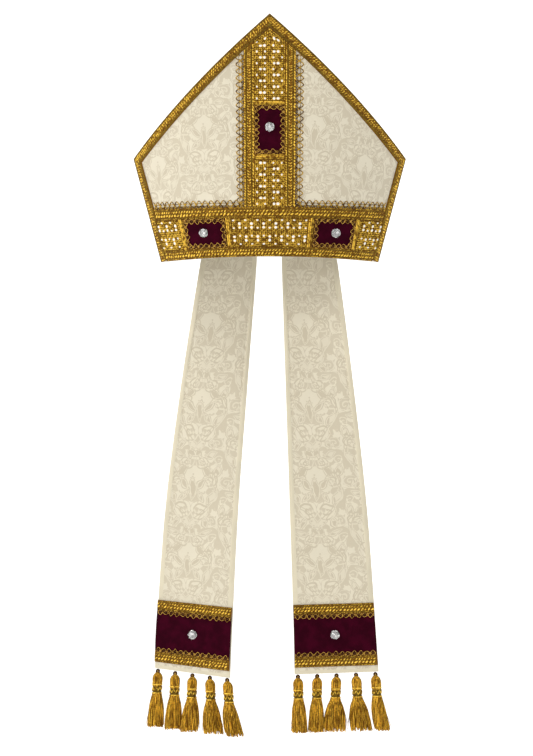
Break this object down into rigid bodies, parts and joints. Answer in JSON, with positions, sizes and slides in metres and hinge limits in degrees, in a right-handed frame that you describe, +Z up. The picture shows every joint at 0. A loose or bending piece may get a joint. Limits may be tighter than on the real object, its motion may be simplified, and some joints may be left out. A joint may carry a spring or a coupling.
{
  "type": "bishop mitre",
  "caption": "Two-horned ceremonial bishop's mitre in cream brocade with gold braid and lace bands, dark red panels, clear stones and two tasselled lappets hanging behind.",
  "frame": {"origin": "middle of the head opening, in the plane through the lower ends of the two side seams", "axes": "+Z up to the points of the horns, -Y to the front, +X to the right as one faces the front"},
  "size_m": [0.3234, 0.169, 0.8526],
  "materials": {
    "brocade": "cream silk damask with a low sheen",
    "lining": "plain cream cloth",
    "gold_braid": "woven metallic gold braid",
    "gold_lace": "openwork metallic gold lace",
    "velvet": "dark red velvet",
    "crystal": "clear cut crystal",
    "setting": "bright silvery cup",
    "tassel_gold": "twisted metallic gold thread"
  },
  "bodies": {
    "root": {"back_binding": "gold_braid", "back_circulus_braid_lower": "gold_braid", "back_circulus_braid_upper": "gold_braid", "back_circulus_lace": "gold_lace", "back_panel": "brocade", "back_titulus_braid_left": "gold_braid", "back_titulus_braid_right": "gold_braid", "back_titulus_lace": "gold_lace", "circulus_bar_left_inner": "gold_braid", "circulus_bar_left_outer": "gold_braid", "circulus_bar_right_inner": "gold_braid", "circulus_bar_right_outer": "gold_braid", "circulus_braid_lower": "gold_braid", "circulus_braid_upper": "gold_braid", "circulus_lace_centre": "gold_lace", "circulus_lace_left": "gold_lace", "circulus_lace_right": "gold_lace", "circulus_stone_left": "crystal", "circulus_stone_left_setting": "setting", "circulus_stone_right": "crystal", "circulus_stone_right_setting": "setting", "circulus_velvet_left": "velvet", "circulus_velvet_right": "velvet", "front_binding": "gold_braid", "front_panel": "brocade", "gusset": "lining", "lappet_braid_lower_left": "gold_braid", "lappet_braid_lower_right": "gold_braid", "lappet_braid_upper_left": "gold_braid", "lappet_braid_upper_right": "gold_braid", "lappet_left": "brocade", "lappet_right": "brocade", "lappet_stone_left": "crystal", "lappet_stone_left_setting": "setting", "lappet_stone_right": "crystal", "lappet_stone_right_setting": "setting", "lappet_velvet_left": "velvet", "lappet_velvet_right": "velvet", "tassel_left_1": "tassel_gold", "tassel_left_2": "tassel_gold", "tassel_left_3": "tassel_gold", "tassel_left_4": "tassel_gold", "tassel_left_5": "tassel_gold", "tassel_right_1": "tassel_gold", "tassel_right_2": "tassel_gold", "tassel_right_3": "tassel_gold", "tassel_right_4": "tassel_gold", "tassel_right_5": "tassel_gold", "titulus_bar_lower": "gold_braid", "titulus_bar_upper": "gold_braid", "titulus_braid_left": "gold_braid", "titulus_braid_right": "gold_braid", "titulus_lace_lower": "gold_lace", "titulus_lace_upper": "gold_lace", "titulus_stone": "crystal", "titulus_stone_setting": "setting", "titulus_velvet": "velvet"}
  },
  "joints": []
}
